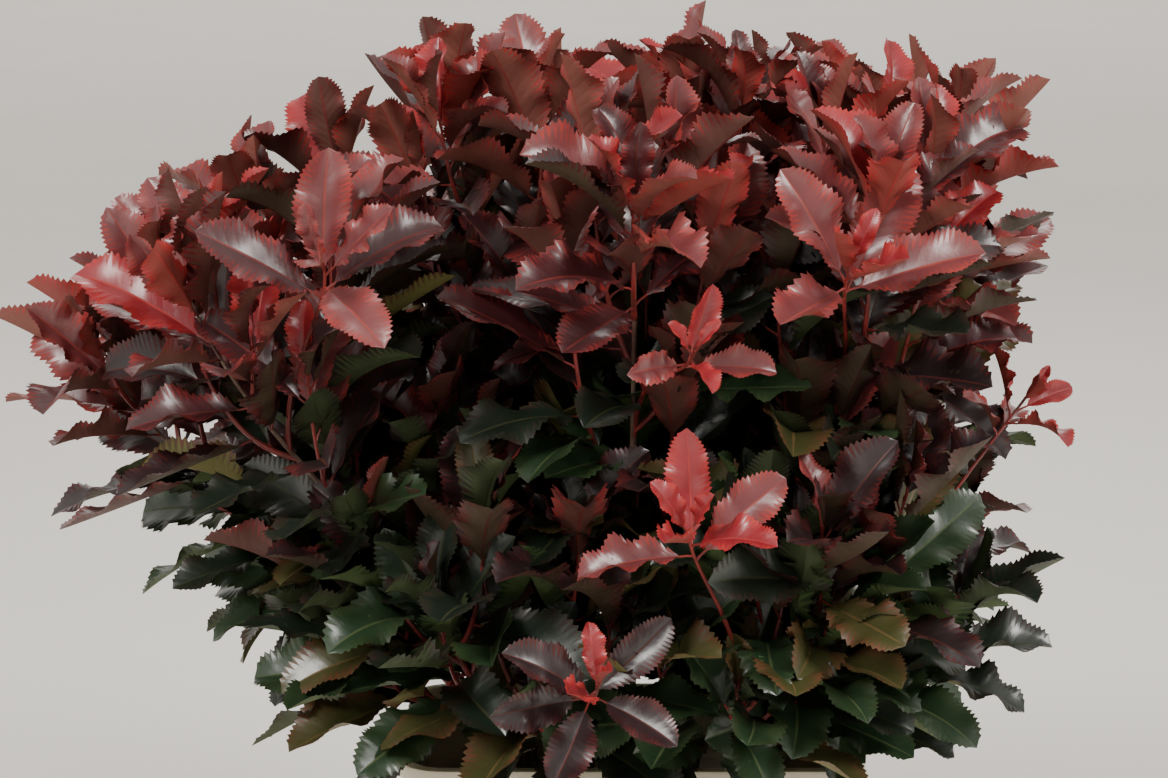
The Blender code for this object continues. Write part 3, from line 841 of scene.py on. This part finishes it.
class WoodMesh:
    """Collects tubes into one mesh."""

    def __init__(self):
        self.points, self.faces, self.slots, self.count = [], [], [], 0

    def tube(self, line, radii, sides, slot):
        line = np.asarray(line, float)
        heading = np.gradient(line, axis=0)
        heading /= np.linalg.norm(heading, axis=1)[:, None]
        side = np.cross(heading[0], (0.0, 1.0, 0.0) if abs(heading[0][1]) < 0.9 else (1.0, 0.0, 0.0))
        turns = np.arange(sides) * 2 * math.pi / sides
        radii = np.asarray(radii, float)
        if radii.ndim == 1:
            radii = np.repeat(radii[:, None], sides, axis=1)
        for k, centre in enumerate(line):
            side = side - heading[k] * side.dot(heading[k])
            side /= np.linalg.norm(side)
            other = np.cross(heading[k], side)
            ring = np.cos(turns)[:, None] * side + np.sin(turns)[:, None] * other
            self.points.append(centre + ring * radii[k][:, None])
        first = self.count
        for k in range(len(line) - 1):
            a = first + k * sides
            for j in range(sides):
                following = (j + 1) % sides
                self.faces.append((a + j, a + following, a + sides + following, a + sides + j))
                self.slots.append(slot)
        end = first + (len(line) - 1) * sides
        self.faces.append(tuple(range(first + sides - 1, first - 1, -1)))
        self.faces.append(tuple(range(end, end + sides)))
        self.slots += [slot, slot]
        self.count += len(line) * sides

    def object(self, name, materials):
        mesh = bpy.data.meshes.new(name)
        mesh.from_pydata(np.concatenate(self.points).tolist(), [], self.faces)
        mesh.polygons.foreach_set("material_index", self.slots)
        for mat in materials:
            mesh.materials.append(mat)
        mesh.shade_smooth()
        mesh.set_sharp_from_angle(angle=math.radians(50))
        obj = bpy.data.objects.new(name, mesh)
        bpy.context.scene.collection.objects.link(obj)
        return obj


def knotted(radii, length, spacing, rng, swell):
    """Radii with a swelling at each old leaf's scar."""
    radii = np.asarray(radii, float)
    along = np.linspace(0, length, len(radii))
    at = rng.uniform(0, spacing)
    extra = np.zeros(len(radii))
    while at < length:
        extra += np.exp(-(((along - at) / SCAR_LENGTH) ** 2))
        at += spacing * rng.uniform(0.8, 1.25)
    return radii * (1 + swell * extra)


# Materials

MIDDLE_GREY = (0.5, 0.5, 0.5, 1)
VEIN_SLANT = 0.16
VEIN_PAIRS = 11.0


class Wiring:
    """A shader group that puts out a colour, a roughness and a height, and short calls for its nodes."""

    def __init__(self, name, inputs):
        self.group = bpy.data.node_groups.new(name, "ShaderNodeTree")
        sockets = [(key, "INPUT", value) for key, value in inputs.items()]
        results = {"Colour": MIDDLE_GREY, "Roughness": 0.5, "Height": 0.0}
        sockets += [(key, "OUTPUT", value) for key, value in results.items()]
        for key, direction, value in sockets:
            kind = "NodeSocketFloat" if isinstance(value, float) else "NodeSocketColor"
            made = self.group.interface.new_socket(name=key, in_out=direction, socket_type=kind)
            made.default_value = value
        self.nodes, self.links = self.group.nodes, self.group.links
        self.given = self.nodes.new("NodeGroupInput").outputs
        self.result = self.nodes.new("NodeGroupOutput").inputs
        self.where = self.nodes.new("ShaderNodeTexCoord").outputs["Object"]

    def feed(self, value, target):
        if isinstance(value, bpy.types.NodeSocket):
            self.links.new(value, target)
        else:
            target.default_value = value

    def noise(self, scale, detail):
        texture = self.nodes.new("ShaderNodeTexNoise")
        self.feed(self.where, texture.inputs["Vector"])
        self.feed(scale, texture.inputs["Scale"])
        self.feed(detail, texture.inputs["Detail"])
        return texture.outputs["Fac"]

    def math(self, operation, first, second=0.0):
        node = self.nodes.new("ShaderNodeMath")
        node.operation = operation
        self.feed(first, node.inputs[0])
        self.feed(second, node.inputs[1])
        return node.outputs[0]

    def remap(self, value, from_low, from_high, to_low=0.0, to_high=1.0):
        node = self.nodes.new("ShaderNodeMapRange")
        names = ("Value", "From Min", "From Max", "To Min", "To Max")
        for name, number in zip(names, (value, from_low, from_high, to_low, to_high)):
            self.feed(number, node.inputs[name])
        return node.outputs["Result"]

    def mix(self, share, first, second):
        node = self.nodes.new("ShaderNodeMix")
        node.data_type = "RGBA"
        self.feed(share, node.inputs["Factor"])
        ends = [end for end in node.inputs if end.type == "RGBA"]
        self.feed(first, ends[0])
        self.feed(second, ends[1])
        return next(end for end in node.outputs if end.type == "RGBA")

    def put_out(self, colour, roughness, height):
        for value, target in zip((colour, roughness, height), self.result):
            self.links.new(value, target)
        return self.group


def uneven_group():
    """Two colours in cloudy patches, with a roughness and a height that vary finely. It is built once."""
    if "uneven_surface" in bpy.data.node_groups:
        return bpy.data.node_groups["uneven_surface"]
    inputs = {"First": MIDDLE_GREY, "Second": MIDDLE_GREY, "Scale": 20.0, "Fine Scale": 200.0}
    wiring = Wiring("uneven_surface", {**inputs, "Roughness": 0.4, "Roughness Change": 0.1})
    given = wiring.given
    share = wiring.remap(wiring.noise(given["Scale"], 3.0), 0.35, 0.65)
    fine = wiring.noise(given["Fine Scale"], 2.0)
    change = wiring.math("MULTIPLY", given["Roughness Change"], fine)
    colour = wiring.mix(share, given["First"], given["Second"])
    return wiring.put_out(colour, wiring.math("ADD", given["Roughness"], change), fine)


def blade_group():
    """A leaf's colour, from its middle to its margin and with paler side veins, and its relief."""
    inputs = {"Middle": MIDDLE_GREY, "Margin": MIDDLE_GREY, "Vein": MIDDLE_GREY}
    wiring = Wiring("leaf_blade", {**inputs, "Vein Strength": 0.2, "Roughness": 0.3})
    given, calc = wiring.given, wiring.math
    blade = wiring.nodes.new("ShaderNodeUVMap")
    blade.uv_map = "blade"
    split = wiring.nodes.new("ShaderNodeSeparateXYZ")
    wiring.feed(blade.outputs["UV"], split.inputs["Vector"])
    side = calc("MULTIPLY", calc("ABSOLUTE", calc("SUBTRACT", split.outputs["X"], 0.5)), 2.0)
    cloud = wiring.noise(26.0, 4.0)
    share = calc("ADD", calc("MULTIPLY", side, 0.45), cloud)
    colour = wiring.mix(wiring.remap(share, 0.45, 1.0), given["Middle"], given["Margin"])
    row = calc("SUBTRACT", split.outputs["Y"], calc("MULTIPLY", side, VEIN_SLANT))
    wave = calc("SINE", calc("MULTIPLY", calc("MULTIPLY", row, VEIN_PAIRS), math.pi))
    between = calc("ABSOLUTE", wave)
    vein = calc("MULTIPLY", wiring.remap(between, 0.0, 0.20, 1.0, 0.0), given["Vein Strength"])
    colour = wiring.mix(vein, colour, given["Vein"])
    rough = calc("MULTIPLY", calc("SUBTRACT", cloud, 0.5), 0.30)
    height = calc("ADD", wiring.noise(420.0, 2.0), calc("MULTIPLY", between, 0.8))
    return wiring.put_out(colour, calc("ADD", given["Roughness"], rough), height)


def shader_material(name, group, values, constants, bump):
    """A material fed by a shared group. Values go to the group, constants to the shader's own sockets."""
    mat = bpy.data.materials.new(name)
    mat.use_nodes = True
    nodes, links = mat.node_tree.nodes, mat.node_tree.links
    shader = nodes["Principled BSDF"]
    made = nodes.new("ShaderNodeGroup")
    made.node_tree = group
    for key, value in values.items():
        made.inputs[key].default_value = (*value, 1.0) if isinstance(value, (tuple, list)) else value
    for key, value in constants.items():
        shader.inputs[key].default_value = value
    links.new(made.outputs["Colour"], shader.inputs["Base Color"])
    links.new(made.outputs["Roughness"], shader.inputs["Roughness"])
    relief = nodes.new("ShaderNodeBump")
    relief.inputs["Strength"].default_value = bump[0]
    relief.inputs["Distance"].default_value = bump[1]
    links.new(made.outputs["Height"], relief.inputs["Height"])
    links.new(relief.outputs["Normal"], shader.inputs["Normal"])
    return mat


def leaf_materials():
    """The four materials of each tint: face, underside, midrib and teeth."""
    blade, uneven = blade_group(), uneven_group()
    made = {}
    for tint, (middle, margin, under, rib, teeth) in TINTS.items():
        gloss = {"Specular IOR Level": 0.5, "Coat Weight": 0.55, "Coat Roughness": 0.24}
        dull = {"Specular IOR Level": 0.35}
        face = {"Middle": middle, "Margin": margin, "Vein": rib, "Vein Strength": 0.12, "Roughness": 0.36}
        back = {"Middle": under, "Margin": under, "Vein": rib, "Vein Strength": 0.13, "Roughness": 0.56}
        strip = {"First": rib, "Second": tuple(c * 0.8 for c in rib), "Scale": 60.0, "Roughness": 0.40}
        tooth = {"First": teeth, "Second": margin, "Scale": 90.0, "Roughness": 0.40}
        made[tint, "top"] = shader_material(f"{tint}_face", blade, face, gloss, (0.30, 0.0004))
        made[tint, "under"] = shader_material(f"{tint}_underside", blade, back, dull, (0.35, 0.0005))
        made[tint, "rib"] = shader_material(f"{tint}_midrib", uneven, strip, dull, (0.1, 0.0003))
        made[tint, "edge"] = shader_material(f"{tint}_teeth", uneven, tooth, dull, (0.1, 0.0003))
    return made


def bark_materials(bark):
    group = uneven_group()
    old, young = tuple(bark.old), tuple(bark.young)
    grey, dark = (0.15, 0.10, 0.075), (0.12, 0.022, 0.020)
    lower = {"First": old, "Second": grey, "Scale": 55.0, "Fine Scale": 700.0, "Roughness": 0.50}
    upper = {"First": young, "Second": dark, "Scale": 40.0, "Fine Scale": 500.0, "Roughness": 0.36}
    return [
        shader_material("old_bark", group, lower, {"Specular IOR Level": 0.35}, (0.6, 0.0008)),
        shader_material("young_bark", group, upper, {"Specular IOR Level": 0.45}, (0.3, 0.0004)),
    ]


def plastic_material(name, colour, worn):
    values = {
        "First": colour,
        "Second": worn,
        "Scale": 9.0,
        "Fine Scale": 900.0,
        "Roughness": 0.36,
        "Roughness Change": 0.16,
    }
    return shader_material(name, uneven_group(), values, {"Specular IOR Level": 0.5}, (0.12, 0.0002))


# The tub


def rounded_ring(half_length, half_depth, radius, height):
    """Points round a rounded rectangle, anticlockwise seen from above."""
    points = []
    for corner, (sx, sy) in enumerate(((1, 1), (-1, 1), (-1, -1), (1, -1))):
        for k in range(RING_STEPS + 1):
            angle = math.pi / 2 * (corner + k / RING_STEPS)
            x = sx * (half_length - radius) + radius * math.cos(angle)
            y = sy * (half_depth - radius) + radius * math.sin(angle)
            points.append((x, y, height))
    return points


def tub_profile(tub):
    """The wall's section from the underside round the lip to the inner floor: how far out, and how high.

    Distances out are counted from the outside of the upper wall.
    """
    foot = -0.003 - tub.taper
    top, lip = RIM_HEIGHT, tub.lip
    hang = lip - TUB_WALL
    return (
        (foot - 0.006, 0.0),
        (foot - 0.0024, 0.0008),
        (foot - 0.0006, 0.0026),
        (foot, 0.006),
        (-0.0032, LEDGE_HEIGHT - 0.002),
        (-0.0022, LEDGE_HEIGHT - 0.0006),
        (-0.0006, LEDGE_HEIGHT + 0.0004),
        (0.0, LEDGE_HEIGHT + 0.002),
        (0.0, top - 0.0060),
        (0.0012, top - 0.0038),
        (hang - 0.0012, top - 0.0034),
        (hang, top - 0.0046),
        (hang, top - 0.0122),
        (hang + 0.0006, top - 0.0128),
        (lip - 0.0006, top - 0.0128),
        (lip, top - 0.0122),
        (lip, top - 0.0022),
        (lip - 0.0007, top - 0.0007),
        (lip - 0.0022, top - 0.0001),
        (0.0, top - 0.0001),
        (-0.0017, top - 0.0007),
        (-0.0025, top - 0.0024),
        (-0.0025, LEDGE_HEIGHT + 0.003),
        (-0.0034, LEDGE_HEIGHT + 0.0006),
        (-0.0052, LEDGE_HEIGHT - 0.0014),
        (foot - TUB_WALL, 0.008),
        (foot - TUB_WALL - 0.0018, 0.0042),
        (foot - TUB_WALL - 0.006, TUB_WALL),
    )


def add_ribs(bm, tub):
    """Low upright ribs under the lip, as a moulded tub has, on all four sides."""
    out_x = tub.length / 2 - tub.lip + RIB_OUT / 2 - 0.0002
    out_y = tub.depth / 2 - tub.lip + RIB_OUT / 2 - 0.0002
    height = RIM_HEIGHT - 0.0095
    for side in (-1, 1):
        for k in (-3, -2, -1, 1, 2, 3):
            rib_box(bm, (k * RIB_SPACING, side * out_y, height), (RIB_WIDTH, RIB_OUT, RIB_TALL))
        for k in (-2, -1, 1, 2):
            rib_box(bm, (side * out_x, k * RIB_SPACING, height), (RIB_OUT, RIB_WIDTH, RIB_TALL))


def rib_box(bm, centre, size):
    made = bmesh.ops.create_cube(bm, size=1.0)["verts"]
    bmesh.ops.scale(bm, verts=made, vec=size)
    bmesh.ops.translate(bm, verts=made, vec=centre)


def grip_frame(bm, tub, side):
    """The hand grip at one end: two rails joined by bars, with slots between them."""
    inner = tub.length / 2 - tub.lip / 2 - GRIP_WIDTH
    height = RIM_HEIGHT - 0.0032
    low_rail = (0.0050, GRIP_LENGTH, GRIP_THICK - 0.0020)
    rib_box(bm, (side * (inner + 0.0022), 0, height), (0.0044, GRIP_LENGTH, GRIP_THICK))
    rib_box(bm, (side * (inner + 0.0100), 0, height + 0.0008), low_rail)
    for k in range(GRIP_BARS):
        y = (k / (GRIP_BARS - 1) - 0.5) * (GRIP_LENGTH - 0.006)
        rib_box(bm, (side * (inner + 0.0075), y, height), (0.0130, 0.0060, GRIP_THICK))


class BRANCHES_OT_tub(bpy.types.Operator):
    """Make the tub's wall, lip, ribs and grips"""

    bl_idname = "branches.tub"
    bl_label = "Tub"

    def execute(self, context):
        tub = context.scene.tub_sizes
        half_length = tub.length / 2 - tub.lip
        half_depth = tub.depth / 2 - tub.lip
        bm = bmesh.new()
        rings = []
        for out, height in tub_profile(tub):
            radius = max(0.012, tub.corner + out)
            ring = rounded_ring(half_length + out, half_depth + out, radius, height)
            rings.append([bm.verts.new(point) for point in ring])
        count = len(rings[0])
        for lower, upper in zip(rings, rings[1:]):
            for k in range(count):
                following = (k + 1) % count
                bm.faces.new((lower[k], lower[following], upper[following], upper[k]))
        bm.faces.new(rings[0][::-1])
        bm.faces.new(rings[-1])
        add_ribs(bm, tub)
        for side in (-1, 1):
            grip_frame(bm, tub, side)
        mesh = bpy.data.meshes.new("tub_body")
        bm.to_mesh(mesh)
        bm.free()
        mesh.shade_smooth()
        mesh.set_sharp_from_angle(angle=math.radians(32))
        cream = tuple(tub.colour)
        mesh.materials.append(plastic_material("cream_tub_plastic", cream, tuple(c * 0.90 for c in cream)))
        body = bpy.data.objects.new("tub_body", mesh)
        context.scene.collection.objects.link(body)
        rounding = body.modifiers.new("soft_edges", "BEVEL")
        rounding.width = 0.0006
        rounding.segments = 2
        rounding.limit_method = "ANGLE"
        rounding.angle_limit = math.radians(60)
        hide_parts("tub")
        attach(body, "root")
        orange = plastic_material("orange_tab_plastic", (0.62, 0.13, 0.035), (0.52, 0.10, 0.028))
        for side in ("left", "right"):
            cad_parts[f"tab_{side}"].material_slots[0].material = orange
        return {"FINISHED"}


class BRANCHES_OT_bare_stems(bpy.types.Operator):
    """Make the bare lower stems, with bark relief and old leaf scars"""

    bl_idname = "branches.bare_stems"
    bl_label = "Bare stems"

    def execute(self, context):
        cuttings = all_cuttings(context.scene.crown_sizes)
        rng = np.random.default_rng(CUTTING_SEED)
        wood = WoodMesh()
        for cutting in cuttings:
            line = evenly(cutting.axis[: cutting.entry + 1], STEM_RINGS)
            even = np.linspace(STEM_FOOT_RADIUS, LEADER_RADIUS, STEM_RINGS)
            radii = knotted(even, line_length(line), 0.024, rng, 0.16)
            grain = 1 + rng.uniform(-0.030, 0.030, (STEM_RINGS, STEM_SIDES))
            wood.tube(line, radii[:, None] * grain, STEM_SIDES, 0)
        stems = wood.object("bare_stems", bark_materials(context.scene.bark_colours)[:1])
        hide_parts(*[f"stem_{cutting.name}" for cutting in cuttings])
        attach(stems, "root")
        return {"FINISHED"}


class BRANCHES_OT_foliage(bpy.types.Operator):
    """Grow the twigs, leaf stalks and leaves of every branch"""

    bl_idname = "branches.foliage"
    bl_label = "Foliage"

    def execute(self, context):
        scene = context.scene
        crown, sizes = scene.crown_sizes, scene.leaf_sizes
        cuttings = all_cuttings(crown)
        grower = Grower(sizes, scene.tub_sizes, crown)
        grid, materials = leaf_grid(), leaf_materials()
        wood = WoodMesh()
        wood_rng = np.random.default_rng(CUTTING_SEED + 1)
        standing_out = front_shoots(cuttings, grower)
        for index, cutting in enumerate(cuttings):
            rng = random.Random(CUTTING_SEED * 1000 + index)
            grown = [(twig, leaves_of(twig, grower, rng)) for twig in twigs_of(cutting, crown, rng)]
            grown += standing_out.get(index, [])
            leaves = [leaf for _, found in grown for leaf in found]
            for twig, found in grown:
                self.add_wood(wood, twig, found, wood_rng)
            name = f"leaves_{cutting.name}"
            mesh = leaf_mesh(name, leaves, grid, sizes, materials, CUTTING_SEED * 50 + index)
            piece = bpy.data.objects.new(name, mesh)
            scene.collection.objects.link(piece)
            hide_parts(f"foliage_{cutting.name}")
            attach(piece, "root")
        twigs = wood.object("twigs", bark_materials(scene.bark_colours))
        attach(twigs, "root")
        return {"FINISHED"}

    def add_wood(self, wood, twig, leaves, rng):
        length = line_length(twig.points)
        rings = max(8, int(length / 0.009))
        line = evenly(twig.points, rings)
        radii = knotted(np.linspace(twig.radius, twig.tip_radius, rings), length, 0.023, rng, 0.10)
        wood.tube(line, radii, 8 if twig.leader else 6, 0 if twig.leader and length > 0.3 else 1)
        for leaf in leaves:
            middle = (leaf.stalk + leaf.root) / 2 + leaf.face * 0.0006
            end = leaf.root + leaf.along * leaf.length * 0.05
            wood.tube([leaf.stalk, middle, leaf.root, end], (0.0013, 0.0010, 0.0009, 0.0004), 5, 1)


# Each lamp's name, place, what it points at, size and power
LAMPS = (
    ("left_softbox", (-2.3, -2.4, 3.3), (0, 0, 0.55), 1.5, 150),
    ("right_softbox", (2.5, -1.9, 2.8), (0, 0, 0.55), 1.2, 105),
    ("back_softbox", (0.4, 2.8, 3.1), (0, 0, 0.55), 1.8, 40),
    ("far_softbox", (0.0, 13.0, 7.0), (0.0, 13.0, 0.0), 10.0, 420),
)
FLOOR_RADIUS = 40.0
LENS = 115.6
CAMERA_PLACE = (-0.041, -3.22, RIM_HEIGHT + 0.87)
CAMERA_TILT = 80


class BRANCHES_OT_stage(bpy.types.Operator):
    """Make the floor, the lights and the camera"""

    bl_idname = "branches.stage"
    bl_label = "Stage"

    def execute(self, context):
        scene = context.scene
        bpy.ops.mesh.primitive_circle_add(vertices=96, radius=FLOOR_RADIUS, fill_type="NGON")
        floor = context.object
        floor.name = "floor"
        values = {
            "First": (0.80, 0.775, 0.735),
            "Second": (0.78, 0.755, 0.715),
            "Scale": 1.5,
            "Fine Scale": 60.0,
            "Roughness": 0.85,
        }
        floor.data.materials.append(shader_material("pale_floor", uneven_group(), values, {}, (0.02, 0.001)))

        world = bpy.data.worlds.new("studio")
        scene.world = world
        world.use_nodes = True
        background = world.node_tree.nodes["Background"]
        background.inputs["Color"].default_value = (0.80, 0.765, 0.715, 1)
        background.inputs["Strength"].default_value = 0.88
        for name, place, target, size, power in LAMPS:
            self.lamp(scene, name, place, target, size, power)
        self.camera(scene)
        return {"FINISHED"}

    def lamp(self, scene, name, place, target, size, power):
        light = bpy.data.lights.new(name, "AREA")
        light.size = size
        light.energy = power
        light.color = (1.0, 0.97, 0.93)
        obj = bpy.data.objects.new(name, light)
        obj.location = place
        aim = Vector(target) - Vector(place)
        obj.rotation_euler = aim.to_track_quat("-Z", "Y").to_euler()
        scene.collection.objects.link(obj)

    def camera(self, scene):
        """The photo's viewpoint: a long lens, a little above the bunch and looking down by ten degrees."""
        data = bpy.data.cameras.new("photo_view")
        data.sensor_fit = "HORIZONTAL"
        data.sensor_width = 36.0
        data.lens = LENS
        data.clip_end = 200.0
        camera = bpy.data.objects.new("photo_view", data)
        camera.location = CAMERA_PLACE
        camera.rotation_euler = (math.radians(CAMERA_TILT), 0, 0)
        scene.collection.objects.link(camera)
        scene.camera = camera


class BRANCHES_PT_panel(bpy.types.Panel):
    """Sizes and colours of the bunch, and its makers"""

    bl_label = "Cut branches"
    bl_idname = "BRANCHES_PT_panel"
    bl_space_type = "VIEW_3D"
    bl_region_type = "UI"
    bl_category = "Branches"

    def draw(self, context):
        scene = context.scene
        for settings in (scene.tub_sizes, scene.crown_sizes, scene.leaf_sizes, scene.bark_colours):
            column = self.layout.column(align=True)
            for name in settings.__annotations__:
                column.prop(settings, name)
        for operator in OPERATORS:
            self.layout.operator(operator.bl_idname)


SETTINGS = (
    ("tub_sizes", TubSizes),
    ("crown_sizes", CrownSizes),
    ("leaf_sizes", LeafSizes),
    ("bark_colours", BarkColours),
)
OPERATORS = (BRANCHES_OT_tub, BRANCHES_OT_bare_stems, BRANCHES_OT_foliage, BRANCHES_OT_stage)


def register():
    for name, kind in SETTINGS:
        bpy.utils.register_class(kind)
        setattr(bpy.types.Scene, name, PointerProperty(type=kind))
    for kind in (*OPERATORS, BRANCHES_PT_panel):
        bpy.utils.register_class(kind)


def unregister():
    for kind in (BRANCHES_PT_panel, *reversed(OPERATORS)):
        bpy.utils.unregister_class(kind)
    for name, kind in reversed(SETTINGS):
        delattr(bpy.types.Scene, name)
        bpy.utils.unregister_class(kind)


def main():
    register()
    bpy.ops.branches.tub()
    bpy.ops.branches.bare_stems()
    bpy.ops.branches.foliage()
    bpy.ops.branches.stage()
    bpy.context.view_layer.update()


if __name__ == "__main__":
    main()
